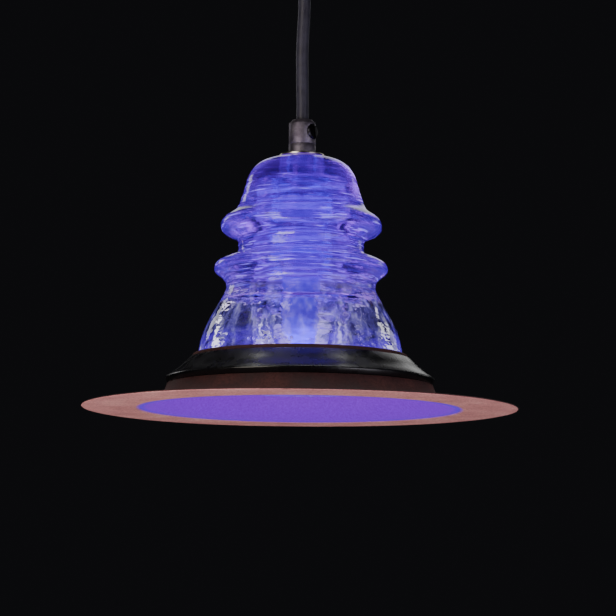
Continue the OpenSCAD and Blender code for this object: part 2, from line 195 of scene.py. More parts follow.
def painted_crown_light(tree, radius, height, rise, streaks):
    """Colour and strength of the bulb's light, painted as a glow in the crown and the ridges.

    The painted glow runs up inside the glass, strongest on the pinhole's wall; painted highlights, palest, lie
    on its thread's crest and along the drag lines outside."""
    lamp = bpy.context.scene.lamp
    wall = add_node(tree, "MapRange", [radius, 14.6 * MM, 14.2 * MM])[0]
    threaded = add_node(tree, "MapRange", [height, above(PINHOLE_TOP - 1), above(PINHOLE_TOP - 3)])[0]
    # The wall leans by its taper, so the thread's crest is found on the radius that it would have at z = 0
    lean = add_node(tree, "Math", [height, PINHOLE_TAPER], operation="MULTIPLY")[0]
    upright = add_node(tree, "Math", [radius, lean], operation="ADD")[0]
    foot = pinhole_radius(0) * MM + BRIM * PINHOLE_TAPER
    ridge = add_node(tree, "MapRange", [upright, foot - 0.6 * MM, foot - 0.95 * MM])[0]
    crest = add_node(tree, "Math", [ridge, threaded], operation="MULTIPLY")[0]
    # painted highlights: bright lines along the drag streaks and on the thread's crest, fading out near the
    # crown's top
    bright = add_node(tree, "MapRange", [streaks, 0.6, 0.65])[0]
    shoulder = add_node(tree, "MapRange", [rise, 0.94, 0.8])[0]
    lines = add_node(tree, "Math", [bright, shoulder], operation="MULTIPLY")[0]
    painted_highlight = add_node(tree, "Math", [lines, crest], operation="MAXIMUM")[0]
    # painted glow: a faint veil through the glass and a stronger one on the pinhole's wall, varied along the
    # drag streaks
    painted_veil = add_node(tree, "MapRange", [streaks, 0.42, 0.6, 0.1 * lamp.glass_glow, lamp.glass_glow])[0]
    painted_wall_glow = add_node(tree, "MapRange", [streaks, 0.42, 0.6, 0.3 * lamp.thread_glow, lamp.thread_glow])[0]
    body = add_node(tree, "Mix", {0: wall, 2: painted_veil, 3: painted_wall_glow})[0]
    power = add_node(tree, "Mix", {0: painted_highlight, 2: body, 3: 0.9})[0]
    # painted glow colours: violet-blue through the glass, deeper on the pinhole's wall, paler for the painted
    # highlights
    outer = add_node(tree, "ValToRGB", [rise], stops=((0.4, "#7000ff"), (0.9, "#7800ff")))[0]
    inner = add_node(tree, "ValToRGB", [rise], stops=((0.4, "#9400ff"), (0.9, "#8c00ff")))[0]
    deep = add_node(tree, "Mix", {0: wall, 6: outer, 7: inner}, data_type="RGBA")[2]
    pale = add_node(tree, "ValToRGB", [rise], stops=((0.4, "#8c7cff"), (0.9, "#8474ff")))[0]
    return add_node(tree, "Mix", {0: painted_highlight, 6: deep, 7: pale}, data_type="RGBA")[2], power


def painted_skirt_light(tree, place, height, waves):
    """Colour and strength of the bulb's light painted as a glow in the skirt: pale upright bands over a deep
    blue painted pool at its foot.
    """
    # painted light: pale upright bands of glow round the skirt
    bands = grain(tree, place, 7 * MM, 3.0, 0.55, (2, 2, 0.6))
    pale = add_node(tree, "MapRange", [bands, 0.48, 0.68, 0.0, 0.22])[0]
    # painted light: a deep blue pool of the bulb's light low on the skirt, in soft patches
    low = add_node(tree, "MapRange", [height, above(31), above(28)])[0]
    swell = add_node(tree, "MapRange", [waves, 0.42, 0.58])[0]
    painted_pool = add_node(tree, "Math", [low, swell], operation="MULTIPLY")[0]
    power = add_node(tree, "Mix", {0: painted_pool, 2: pale, 3: 0.3})[0]
    painted_band_colour = add_node(tree, "ValToRGB", [bands], stops=(
        (0.46, "#6008ff"), (0.58, "#8c80ff"), (0.7, "#d6d2ff")))[0]
    painted_pool_colour = add_node(tree, "ValToRGB", [waves], stops=((0.42, "#6a10ff"), (0.6, "#5c00ff")))[0]
    return add_node(tree, "Mix", {0: painted_pool, 6: painted_band_colour, 7: painted_pool_colour}, data_type="RGBA")[2], power


def clear_pressed_glass():
    """Pressed soda glass: soft waves left by its iron mould, and fine level drag lines above the skirt.

    The skirt is clear. The crown and the ridges take the violet-blue of the bulb's light, painted in as a tint
    and as a glow."""
    made, tree, skin, place = new_material(
        "clear_pressed_glass", "#f2f2ff", Roughness=0.04, IOR=1.52, Transmission_Weight=1.0)
    radius, height = radius_and_height(tree, place)
    rise = add_node(tree, "MapRange", [height, above(8), above(108)])[0]
    # painted light: the base colour is tinted violet from the skirt's top up through the crown; the glass
    # itself is clear
    add_node(tree, "ValToRGB", [rise], feeds=skin["Base Color"], stops=(
        (0.26, "#f4f3ff"), (0.38, "#d0b8ff"), (0.47, "#8a40ff"), (0.95, "#8438ff")))
    upper = add_node(tree, "MapRange", [height, above(43), above(52)])[0]
    waves = grain(tree, place, 8 * MM, 2.0, 0.45, (1, 1, 2.4))
    streaks = grain(tree, place, 12 * MM, 3.0, 0.55, (1, 1, 16))
    share = add_node(tree, "MapRange", [upper, 0.0, 1.0, 0.0, 0.5])[0]
    drag = add_node(tree, "Math", [streaks, share], operation="MULTIPLY")[0]
    uneven = add_node(tree, "Math", [waves, drag], operation="ADD")[0]
    add_node(tree, "Bump", {"Height": uneven, "Distance": 0.3 * MM}, feeds=skin["Normal"])
    crown, crown_power = painted_crown_light(tree, radius, height, rise, streaks)
    skirt, skirt_power = painted_skirt_light(tree, place, height, waves)
    # painted glow: the skirt's and the crown's painted light, joined just above the skirt
    glow = add_node(tree, "Mix", {0: upper, 6: skirt, 7: crown}, data_type="RGBA")[2]
    tree.links.new(glow, skin["Emission Color"])
    add_node(tree, "Mix", {0: upper, 2: skirt_power, 3: crown_power}, feeds=skin["Emission Strength"])
    return made


def frosted_envelope_glass():
    """Frosted bulb glass over blue chips: an even, soft lavender glow."""
    made, tree, skin, place = new_material(
        "frosted_envelope_glass", "#605ac0", Roughness=0.5,
        Emission_Strength=bpy.context.scene.lamp.bulb_glow, Emission_Color=linear("#7030ff"))
    frost = grain(tree, place, 0.5 * MM)
    add_node(tree, "Bump", {"Height": frost, "Distance": 0.02 * MM}, feeds=skin["Normal"])
    return made


def rusted_spun_steel():
    """Spun steel, rusted and sealed: dark brown above; the faces turned down are dusty pink rust with painted
    light from below.
    """
    made, tree, skin, place = new_material("rusted_spun_steel", "#553330", Roughness=0.6)
    clouds = grain(tree, place, 16 * MM, 5.0, 0.62)
    grit = grain(tree, place, 0.9 * MM, 4.0, 0.7)
    brown = add_node(tree, "ValToRGB", [clouds], stops=(
        (0.3, "#391e20"), (0.52, "#4d292a"), (0.72, "#673b38")))[0]
    # partly painted light: the faces turned down take a pink rust tone, made much lighter as the light from
    # below falls on them
    pink = add_node(tree, "ValToRGB", [clouds], stops=(
        (0.28, "#cc8487"), (0.5, "#e49b9d"), (0.72, "#f2b3b2")))[0]
    facing = add_node(tree, "TexCoord")["Normal"]
    down = add_node(tree, "SeparateXYZ", [facing])["Z"]
    # painted light: the mask of the faces turned down, which get the lighter pink
    lit_underside = add_node(tree, "MapRange", [down, -0.1, -0.3])[0]
    body = add_node(tree, "Mix", {0: lit_underside, 6: brown, 7: pink}, data_type="RGBA")[2]
    specks = add_node(tree, "ValToRGB", [grit], stops=((0.34, "#c6bdbb"), (0.56, "#ffffff")))[0]
    rust = add_node(tree, "Mix", {0: 1.0, 6: body, 7: specks}, data_type="RGBA", blend_type="MULTIPLY")[2]
    add_node(tree, "MapRange", [clouds, 0.3, 0.7, 0.62, 0.85], feeds=skin["Roughness"])
    add_node(tree, "Bump", {"Height": grit, "Distance": 0.05 * MM}, feeds=skin["Normal"])
    # Painted light: the bulb's light painted as a violet glow inside the hood, out to the mouth where the flat
    # brim begins
    radius = radius_and_height(tree, place)[0]
    inside = add_node(tree, "MapRange", [radius, (HOOD_MOUTH + 1) * MM, (HOOD_MOUTH - 1) * MM])[0]
    under = add_node(tree, "MapRange", [down, -0.02, -0.06])[0]
    painted_bell_light = add_node(tree, "Math", [inside, under], operation="MULTIPLY")[0]
    # painted light: a dark violet base colour under the painted glow inside the hood
    dark = add_node(tree, "ValToRGB", [grit], stops=((0.3, "#1a0630"), (0.7, "#280a40")))[0]
    colour = add_node(tree, "Mix", {0: painted_bell_light, 6: rust, 7: dark}, data_type="RGBA")[2]
    tree.links.new(colour, skin["Base Color"])
    gritty = add_node(tree, "MapRange", [grit, 0.3, 0.7, 0.8, 1.15])[0]
    glow = add_node(tree, "Math", [painted_bell_light, gritty], operation="MULTIPLY")[0]
    add_node(tree, "Math", [glow, bpy.context.scene.lamp.bell_glow], operation="MULTIPLY",
             feeds=skin["Emission Strength"])
    # painted light: the glow is bluer at the mouth and more violet deeper inside
    inward = add_node(tree, "MapRange", [radius, HOOD_MOUTH * MM, (HOOD_MOUTH - FLARE) * MM])[0]
    add_node(tree, "ValToRGB", [inward], feeds=skin["Emission Color"], stops=(
        (0.05, "#5900ff"), (0.3, "#8a00ff"), (1.0, "#9400ff")))
    return made


def satin_black_lacquer():
    """Sprayed satin lacquer on metal: near black, with orange-peel softness in its gloss."""
    made, tree, skin, place = new_material(
        "satin_black_lacquer", "#0f0e12", Roughness=0.3, Specular_IOR_Level=0.8)
    peel = grain(tree, place, 1.6 * MM, 2.0)
    add_node(tree, "Bump", {"Height": peel, "Distance": 0.02 * MM}, feeds=skin["Normal"])
    dust = grain(tree, place, 11 * MM, 4.0)
    add_node(tree, "MapRange", [dust, 0.35, 0.7, 0.22, 0.36], feeds=skin["Roughness"])
    add_node(tree, "ValToRGB", [dust], stops=((0.4, "#0d0c10"), (0.75, "#1b1a1f")), feeds=skin["Base Color"])
    return made


def blackened_steel():
    """Chemically blackened screws: dark metal with lighter wear on what a screwdriver touches."""
    made, tree, skin, place = new_material("blackened_steel", "#2a292e", Metallic=1.0, Roughness=0.32)
    wear = grain(tree, place, 1.5 * MM, 4.0)
    add_node(tree, "ValToRGB", [wear], stops=((0.4, "#242328"), (0.75, "#55535c")), feeds=skin["Base Color"])
    return made


def turned_steel(name, dark, light, rough):
    """Bar steel turned on a lathe: fine rings round the axis, dulled by handling."""
    made, tree, skin, place = new_material(name, light, Metallic=1.0, Roughness=rough)
    rings = grain(tree, place, 1.0 * MM, 3.0, 0.6, (0.08, 0.08, 5))
    stains = grain(tree, place, 5 * MM, 4.0)
    add_node(tree, "ValToRGB", [stains], stops=((0.35, dark), (0.7, light)), feeds=skin["Base Color"])
    add_node(tree, "MapRange", [rings, 0.3, 0.7, rough - 0.08, rough + 0.14], feeds=skin["Roughness"])
    add_node(tree, "Bump", {"Height": rings, "Distance": 0.03 * MM}, feeds=skin["Normal"])
    return made


def zinc_plate():
    """Zinc plate on stamped steel: pale and slightly mottled, satin rather than bright."""
    made, tree, skin, place = new_material("zinc_plate", "#b9bbc0", Metallic=1.0, Roughness=0.35)
    mottle = grain(tree, place, 3 * MM, 4.0)
    add_node(tree, "ValToRGB", [mottle], feeds=skin["Base Color"], stops=(
        (0.35, "#a3a5aa"), (0.7, "#c9cbd0")))
    add_node(tree, "MapRange", [mottle, 0.3, 0.7, 0.28, 0.45], feeds=skin["Roughness"])
    return made


def nickel_washer_plate():
    """Bright nickel with a cream cast: the thin pale line under the cord grip."""
    made, tree, skin, place = new_material("nickel_washer_plate", "#d8d0c2", Metallic=1.0, Roughness=0.28)
    relief = grain(tree, place, 0.7 * MM, 2.0)
    add_node(tree, "Bump", {"Height": relief, "Distance": 0.01 * MM}, feeds=skin["Normal"])
    return made


def soft_rubber(name, colour, light):
    """Moulded rubber: matt, with faint bloom where it has been handled."""
    made, tree, skin, place = new_material(name, colour, Roughness=0.7)
    bloom = grain(tree, place, 4 * MM, 4.0)
    add_node(tree, "ValToRGB", [bloom], stops=((0.4, colour), (0.75, light)), feeds=skin["Base Color"])
    relief = grain(tree, place, 0.35 * MM, 2.0)
    add_node(tree, "Bump", {"Height": relief, "Distance": 0.02 * MM}, feeds=skin["Normal"])
    return made


def cord_jacket_rubber():
    """Extruded rubber cord jacket: dark grey, fine drag lines along its length, a soft sheen."""
    made, tree, skin, place = new_material("cord_jacket_rubber", "#312f3d", Roughness=0.5)
    drag = grain(tree, place, 0.6 * MM, 2.0, 0.5, (1, 1, 0.05))
    scuffs = grain(tree, place, 5 * MM, 5.0)
    add_node(tree, "ValToRGB", [scuffs], feeds=skin["Base Color"], stops=(
        (0.35, "#282634"), (0.7, "#3e3c4c")))
    add_node(tree, "MapRange", [scuffs, 0.3, 0.7, 0.42, 0.6], feeds=skin["Roughness"])
    add_node(tree, "Bump", {"Height": drag, "Distance": 0.05 * MM}, feeds=skin["Normal"])
    return made


def moulded_plastic(name, colour, rough=0.4):
    """Injection-moulded plastic or wire insulation: even colour, with a faint moulded texture."""
    made, tree, skin, place = new_material(name, colour, Roughness=rough)
    relief = grain(tree, place, 0.8 * MM, 2.0)
    add_node(tree, "Bump", {"Height": relief, "Distance": 0.01 * MM}, feeds=skin["Normal"])
    return made


def steatite():
    """Fired steatite: off-white and dense, with a thin glaze and pin-prick specks."""
    made, tree, skin, place = new_material("steatite", "#e6dfd0", Roughness=0.3, Coat_Weight=0.3)
    specks = grain(tree, place, 0.6 * MM, 2.0)
    add_node(tree, "ValToRGB", [specks], feeds=skin["Base Color"], stops=(
        (0.3, "#cfc6b4"), (0.42, "#e9e2d4")))
    return made


def rolled_brass():
    """Rolled brass: warm yellow, streaked along the strip."""
    made, tree, skin, place = new_material("rolled_brass", "#c9a45c", Metallic=1.0, Roughness=0.28)
    streaks = grain(tree, place, 1.2 * MM, 3.0, 0.6, (1, 1, 0.1))
    add_node(tree, "ValToRGB", [streaks], feeds=skin["Base Color"], stops=(
        (0.35, "#b08b46"), (0.7, "#d8b570")))
    return made


def chip_phosphor():
    """The bulb's chips: small blue lights on a white board."""
    lamp = bpy.context.scene.lamp
    made, tree, skin, place = new_material(
        "chip_phosphor", "#eef0ff", Roughness=0.4, Emission_Strength=lamp.bulb_glow,
        Emission_Color=(*lamp.bulb_colour, 1.0))
    relief = grain(tree, place, 0.6 * MM, 2.0)
    add_node(tree, "Bump", {"Height": relief, "Distance": 0.01 * MM}, feeds=skin["Normal"])
    return made


# ---------------------------------------------------------------- modelling helpers

def arc(radius, x, z, start, end, steps=6):
    """Points of an arc about (x, z), from start to end in degrees."""
    turns = [math.radians(start + (end - start) * i / steps) for i in range(steps + 1)]
    return [(x + radius * math.cos(a), z + radius * math.sin(a)) for a in turns]


def flowing(points, step):
    """A smooth curve through the points, with a point about every step."""
    ends = [points[0]] + list(points) + [points[-1]]
    curve = []
    for a, b, c, d in zip(ends, ends[1:], ends[2:], ends[3:]):
        count = max(1, round(math.dist(b, c) / step))
        for i in range(count):
            t = i / count
            curve.append(tuple(
                0.5 * (2 * q + (r - p) * t + (2 * p - 5 * q + 4 * r - s) * t ** 2
                       + (3 * q - p - 3 * r + s) * t ** 3)
                for p, q, r, s in zip(a, b, c, d)))
    return curve + [tuple(points[-1])]


def start_fresh():
    """Leaves edit mode and deselects everything, so that an operator acts only on what follows."""
    if bpy.context.object and bpy.context.object.mode != "OBJECT":
        bpy.ops.object.mode_set(mode="OBJECT")
    bpy.ops.object.select_all(action="DESELECT")


def pick(*pieces):
    """Selects only these pieces, and makes the first one active."""
    start_fresh()
    for piece in pieces:
        piece.select_set(True)
    bpy.context.view_layer.objects.active = pieces[0]


def smooth(piece, angle=30):
    """Smooths a piece's shading over edges under the angle in degrees."""
    pick(piece)
    bpy.ops.object.shade_smooth_by_angle(angle=math.radians(angle))


def tidy_mesh(angle=30):
    """Merges doubles, turns all faces outwards, and smooths shading under the angle in degrees."""
    bpy.ops.object.mode_set(mode="EDIT")
    bpy.ops.mesh.select_all(action="SELECT")
    bpy.ops.mesh.remove_doubles(threshold=1e-6)
    bpy.ops.mesh.dissolve_degenerate(threshold=1e-6)
    bpy.ops.mesh.normals_make_consistent(inside=False)
    bpy.ops.object.mode_set(mode="OBJECT")
    bpy.ops.object.shade_smooth_by_angle(angle=math.radians(angle))


def turned(name, outline, level=0.0, steps=96, hollow=True, angle=30):
    """Spins an outline of (radius, height) in mm round the Z axis. level is the outline's zero height.

    hollow closes the outline into a loop; otherwise its two ends lie on the axis."""
    start_fresh()
    bpy.ops.mesh.primitive_circle_add(vertices=len(outline), radius=MM, fill_type="NOTHING")
    piece = bpy.context.object
    piece.name = piece.data.name = name
    for vertex, (radius, height) in zip(piece.data.vertices, outline):
        vertex.co = (radius * MM, 0, level + height * MM)
    if not hollow:
        last = len(outline) - 1
        bpy.ops.object.mode_set(mode="EDIT")
        bpy.ops.mesh.select_mode(type="EDGE")
        bpy.ops.mesh.select_all(action="DESELECT")
        bpy.ops.object.mode_set(mode="OBJECT")
        for edge in piece.data.edges:
            edge.select = set(edge.vertices) == {0, last}
        bpy.ops.object.mode_set(mode="EDIT")
        bpy.ops.mesh.delete(type="EDGE")
        bpy.ops.object.mode_set(mode="OBJECT")
    bpy.ops.object.mode_set(mode="EDIT")
    bpy.ops.mesh.select_all(action="SELECT")
    bpy.ops.mesh.spin(steps=steps, angle=TAU, center=(0, 0, 0), axis=(0, 0, 1))
    bpy.ops.object.mode_set(mode="OBJECT")
    tidy_mesh(angle)
    return piece


def apply_modifier(piece, kind, **settings):
    """Adds a modifier and applies it."""
    made = piece.modifiers.new(kind.title(), kind)
    for key, value in settings.items():
        setattr(made, key, value)
    pick(piece)
    bpy.ops.object.modifier_apply(modifier=made.name)


def cut(piece, *cutters):
    """Cuts the cutters out of the piece and removes them."""
    for cutter in cutters:
        apply_modifier(piece, "BOOLEAN", operation="DIFFERENCE", solver="EXACT", object=cutter)
        bpy.data.objects.remove(cutter)


def join(name, *pieces):
    """Joins pieces into one mesh under the first one's materials."""
    pick(*pieces)
    bpy.ops.object.join()
    pieces[0].name = pieces[0].data.name = name
    return pieces[0]


def settle(piece, matrix):
    """Moves a piece by a matrix and applies it, so that its object stays at the origin."""
    piece.matrix_world = matrix
    pick(piece)
    bpy.ops.object.transform_apply(location=True, rotation=True, scale=True)
    return piece


def rod(name, sides, radius, length, matrix):
    """A cylinder along Z about the origin, in mm, moved by a matrix."""
    start_fresh()
    bpy.ops.mesh.primitive_cylinder_add(vertices=sides, radius=radius * MM, depth=length * MM)
    piece = bpy.context.object
    piece.name = piece.data.name = name
    return settle(piece, matrix)


def lift(height):
    """Moves along Z, in metres."""
    return Matrix.Translation((0, 0, height))


def outward(turn, height):
    """Takes +Z to a level direction at an angle round the lamp's axis, at a height."""
    return lift(height) @ Matrix.Rotation(turn, 4, "Z") @ Matrix.Rotation(TAU / 4, 4, "Y")


def block(name, low, high, bevel=0.15):
    """A box between two corners in mm, with its edges rounded."""
    start_fresh()
    middle = [(a + b) / 2 * MM for a, b in zip(low, high)]
    bpy.ops.mesh.primitive_cube_add(size=1, location=middle)
    piece = bpy.context.object
    piece.name = piece.data.name = name
    piece.scale = [(b - a) * MM for a, b in zip(low, high)]
    bpy.ops.object.transform_apply(location=True, rotation=True, scale=True)
    apply_modifier(piece, "BEVEL", width=bevel * MM, segments=2)
    return piece


def wire(name, points, thickness, steps=6):
    """A round wire through the points in metres, made into a mesh."""
    start_fresh()
    curve = bpy.data.curves.new(name, "CURVE")
    curve.dimensions = "3D"
    curve.bevel_depth = thickness / 2
    curve.bevel_resolution = 3
    curve.use_fill_caps = True
    curve.resolution_u = steps
    spline = curve.splines.new("BEZIER")
    spline.bezier_points.add(len(points) - 1)
    for knot, point in zip(spline.bezier_points, points):
        knot.co = point
        knot.handle_left_type = knot.handle_right_type = "AUTO"
    piece = bpy.data.objects.new(name, curve)
    bpy.context.scene.collection.objects.link(piece)
    return piece


def as_mesh(piece):
    """Turns a curve into a smooth mesh."""
    pick(piece)
    bpy.ops.object.convert(target="MESH")
    bpy.ops.object.shade_smooth()
    return bpy.context.object


def hand_over(piece, node, body, *materials):
    """Gives a finished piece its materials, lets it ride on its body, and replaces its CAD node.

    A piece that is handed over with no materials keeps its own."""
    if materials:
        piece.data.materials.clear()
    for made in materials:
        piece.data.materials.append(made)
    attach(piece, body)
    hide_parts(node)


def paint(made, *nodes):
    """Gives CAD nodes that stay in view their finish."""
    for node in nodes:
        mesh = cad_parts[node].data
        mesh.materials.clear()
        mesh.materials.append(made)


# ---------------------------------------------------------------- the glass

def pinhole_radius(height):
    """The pinhole's radius in mm at a height above the brim: it widens a little downwards."""
    return 12.6 + (PINHOLE_TOP - height) * PINHOLE_TAPER


def glass_outline():
    """Half section of the glass: crown, two ridges round the wire groove, skirt, petticoat and pinhole."""
    outside = flowing([
        (9.8, CROWN_TOP), (12.8, 103.8), (16.7, 102.4), (20, 99.8), (22.2, 96.2), (23.2, 92.6),
        (24.3, 89.3), (25.1, 86.9), (25.9, 84.5), (26.9, 82.7), (28.4, 81.3), (30.1, 80.2), (31.7, 79),
        (32.8, 77.7), (33.2, 76.2), (33.1, 74.6), (32.4, 73.3), (31.1, 72.3), (29.3, 71.5), (27.6, 70.8),
        (26.5, 70.1), (26, 69.1), (26, 67.6), (26, 65.6), (26.2, 64.5), (27.2, 63.6), (29.4, 62.8),
        (32, 61.8), (33.9, 60.9), (35.1, 59.9), (35.7, 58.4), (35.6, 57), (34.8, 55.9), (33.5, 55),
        (32.1, 53.8), (31.1, 52.4), (30.7, 50.9), (30.8, 49.2), (31.6, 47.4), (33.1, 44.6), (36, 39.4),
        (38.4, 34.8), (40.2, 30.4), (41.3, 26.2), (41.9, 22.6), (42.3, 19.4), (42.8, 16.4), (43.3, 12.6),
        (43.1, 10.4), (42, 9.2),
    ], 0.8)
    inside = flowing([
        (40.4, 9.05), (39, 9.5), (38, 11.4), (36.9, 17), (34.9, 24.8), (32.6, 32), (30.4, 37.8), (28.2, 41.8),
        (25.2, 43.6), (22, 41.6), (20.4, 37.2), (19.6, 31), (19.2, 24.6), (18.4, 20), (17, 18.8), (15.4, 20),
        (14.8, 24), (14.5, 34), (14.2, 44),
    ], 1.2)
    threaded = [(pinhole_radius(46 + 0.5 * i), 46 + 0.5 * i) for i in range(92)]
    crown_bore = [(11.6, PINHOLE_TOP - 0.8), (9.8, PINHOLE_TOP), (6.3, PINHOLE_TOP), (6, PINHOLE_TOP + 0.3),
                  (6, CROWN_TOP - 0.3), (6.3, CROWN_TOP)]
    return outside + inside + threaded + crown_bore


def cut_thread(piece, lamp):
    """Raises a rounded helical thread on the pinhole's wall, fading out at both ends."""
    low, high = 50 * MM, (PINHOLE_TOP - 2.4) * MM
    for vertex in piece.data.vertices:
        x, y, z = vertex.co
        radius, height = math.hypot(x, y), z - BRIM
        if radius > 14.6 * MM or not low < height < high:
            continue
        turns = height / lamp.thread_pitch - math.atan2(y, x) / TAU
        crest = (0.5 + 0.5 * math.cos(TAU * turns)) ** 1.5
        fade = min(1, (height - low) / (3 * MM), (high - height) / (3 * MM))
        closer = 1 - lamp.thread_depth * crest * fade / radius
        vertex.co = (x * closer, y * closer, z)


def ripple(piece, depth, size, start):
    """Dents the surface beyond a radius towards the axis, in soft patches, as hand-pressed glass shows."""
    for vertex in piece.data.vertices:
        x, y, z = vertex.co
        radius = math.hypot(x, y)
        if radius > start:
            closer = 1 - abs(depth * noise.noise(vertex.co / size)) / radius
            vertex.co = (x * closer, y * closer, z)


def skirt_beads(count, first, gap):
    """A short row of plain raised beads low on the skirt, half sunk in the glass. Angles are in degrees."""
    ring = 41.3 * MM
    beads = []
    for i in range(count):
        angle = math.radians(first + gap * i)
        start_fresh()
        bpy.ops.mesh.primitive_ico_sphere_add(subdivisions=2, radius=0.75 * MM)
        spot = (ring * math.cos(angle), ring * math.sin(angle), above(25))
        beads.append(settle(bpy.context.object, Matrix.Translation(spot)))
    return beads


class LAMP_OT_glass(bpy.types.Operator):
    """Makes the pressed glass insulator with its ridges, groove, petticoat and helical thread"""

    bl_idname = "lamp.glass"
    bl_label = "Glass insulator"

    def execute(self, context):
        lamp = context.scene.lamp
        piece = turned("insulator_glass", glass_outline(), BRIM, lamp.glass_steps, angle=60)
        cut_thread(piece, lamp)
        ripple(piece, 0.35 * MM, 14 * MM, 20 * MM)
        piece = join("insulator_glass", piece, *skirt_beads(9, 240.5, 3.1))
        smooth(piece, 60)
        hand_over(piece, "glass_insulator", "lamp", clear_pressed_glass())
        return {"FINISHED"}


# ---------------------------------------------------------------- the hood

def hood_outline():
    """Half section of the spun shell: rolled lip, shoulder, shelf, flare and a hemmed flat brim."""
    foot = HOOD_MOUTH - FLARE * math.cos(math.radians(15)) - 2
    return (
        [(HOOD_NECK, 19.2), (HOOD_NECK, 21.6)]
        + arc(0.75, HOOD_NECK + 0.75, 21.65, 180, 0, 8)
        + [(HOOD_NECK + 1.45, 20.6), (HOOD_NECK + 1, 20), (HOOD_NECK + 1, 19.6), (48, 14.8), (foot, 9.9)]
        + arc(FLARE, HOOD_MOUTH, 13, 195, 270, 14)
        + [(72, 1), (78, 0.9), (84, 0.7), (87.6, 0.6)]
        + arc(0.32, 88.65, 0.33, 110, -90, 8)
        + [(86, 0), (82, 0), (77, 0), (72, 0)]
        + arc(1.2, HOOD_MOUTH + 1.1, 1.2, 270, 225, 4)
        + arc(13, HOOD_MOUTH, 13, 264, 199, 14)
        + [(foot - 0.6, 8.9), (47.4, 14.1)]
    )


def collar_outline():
    """Half section of the black collar: a coned shoulder with a rounded edge over an undercut rim."""
    return (
        [(HOOD_NECK + 1.8, 19.8)]
        + arc(0.5, HOOD_NECK + 2.35, 20.3, 170, 50, 4)
        + [(48.6, 17.3), (52, 14.6)]
        + arc(0.9, 54.1, 12.1, 48, -12, 6)
        + [(54.7, 11), (54.4, 10.3)]
        + arc(0.25, 54.1, 10.25, -20, -90, 3)
        + [(52.7, 10)]
    )


def warp_brim(hood):
    """Lifts the brim a little towards its edge, unevenly, as thin spun steel that was knocked about."""
    for vertex in hood.data.vertices:
        x, y, z = vertex.co
        reach = max(0, (math.hypot(x, y) - 68 * MM) / (20 * MM))
        turn = math.atan2(y, x)
        lifted = 0.16 + 0.1 * math.sin(2 * turn + 0.7) + 0.06 * math.sin(5 * turn)
        vertex.co.z = z + reach ** 2 * MM * lifted


class LAMP_OT_hood(bpy.types.Operator):
    """Makes the spun hood, the black collar on its shoulder and the gasket in its neck"""

    bl_idname = "lamp.hood"
    bl_label = "Hood"

    def execute(self, context):
        steps = context.scene.lamp.glass_steps
        steel = rusted_spun_steel()
        hood = turned("spun_hood", hood_outline(), BRIM, steps)
        warp_brim(hood)
        hand_over(hood, "hood", "hood", steel)
        collar = turned("shoulder_collar", collar_outline(), BRIM, steps)
        hand_over(collar, "hood_collar", "hood", satin_black_lacquer())
        gasket = turned("neck_seal", [
            (HOOD_NECK - 0.08, 21.7), (HOOD_NECK - 0.4, 21.8), (HOOD_NECK - 0.42, 21.5),
            (HOOD_NECK - 0.1, 19.8),
        ], BRIM, steps)
        hand_over(gasket, "neck_gasket", "hood", soft_rubber("neck_seal_rubber", "#231f1e", "#38322f"))
        return {"FINISHED"}


# ---------------------------------------------------------------- cord grips and the crown's stack

def grip_outline(stud):
    """Half section of a cord grip standing on height 0, with a threaded stud of the given length below."""
    pitch, depth = 0.94, 0.35
    flanks = int((stud - 1.4) / pitch * 2)
    thread = [(5.1 - (depth if i % 2 else 0), -0.9 - pitch / 2 * i) for i in range(flanks)]
    return (
        [(2.9, -stud), (4.4, -stud)] + thread[::-1] + [(5.1, -0.2), (5.1, 0)]
        + [(5.3, 0)] + arc(0.3, 5.3, 0.3, -90, 0, 3)
        + [(5.6, 4.2), (5.5, 4.35), (5.6, 4.5), (5.6, 12.8)]
        + [(5.5, 13.1), (4.3, 14.45)]
        + arc(0.3, 4.05, 14.3, 45, 90, 2)
        + [(3.7, 14.6), (2.9, 13.8)]
    )


def make_grip(name, stud, turn):
    """A cord grip with the seat and the bore for its set screw cut in its side."""
    grip = turned(name, grip_outline(stud), steps=72, angle=35)
    screw_axis = outward(turn, (GRIP_LENGTH - SCREW_DROP) * MM)
    seat = rod("seat", 48, 3.35, 4, screw_axis @ lift(6.6 * MM))
    bore = rod("bore", 32, 1.58, 6, screw_axis @ lift(4.4 * MM))
    cut(grip, seat, bore)
    return grip


def make_set_screw(name):
    """A set screw along +Z with a domed, slotted head; its seat is 4.7 mm from the axis."""
    screw = turned(name, [(0, 2.7), (1.1, 2.7), (1.5, 3.1), (1.5, 4.7), (3, 4.7)]
                   + arc(0.25, 2.95, 4.95, -60, 20, 3)
                   + [(3.1, 5.5), (2.7, 5.85), (1.6, 5.98), (0, 6)], steps=48, hollow=False)
    cut(screw, block("slot", (-4, -0.45, 5.2), (4, 0.45, 7), 0.02))
    smooth(screw)
    return screw


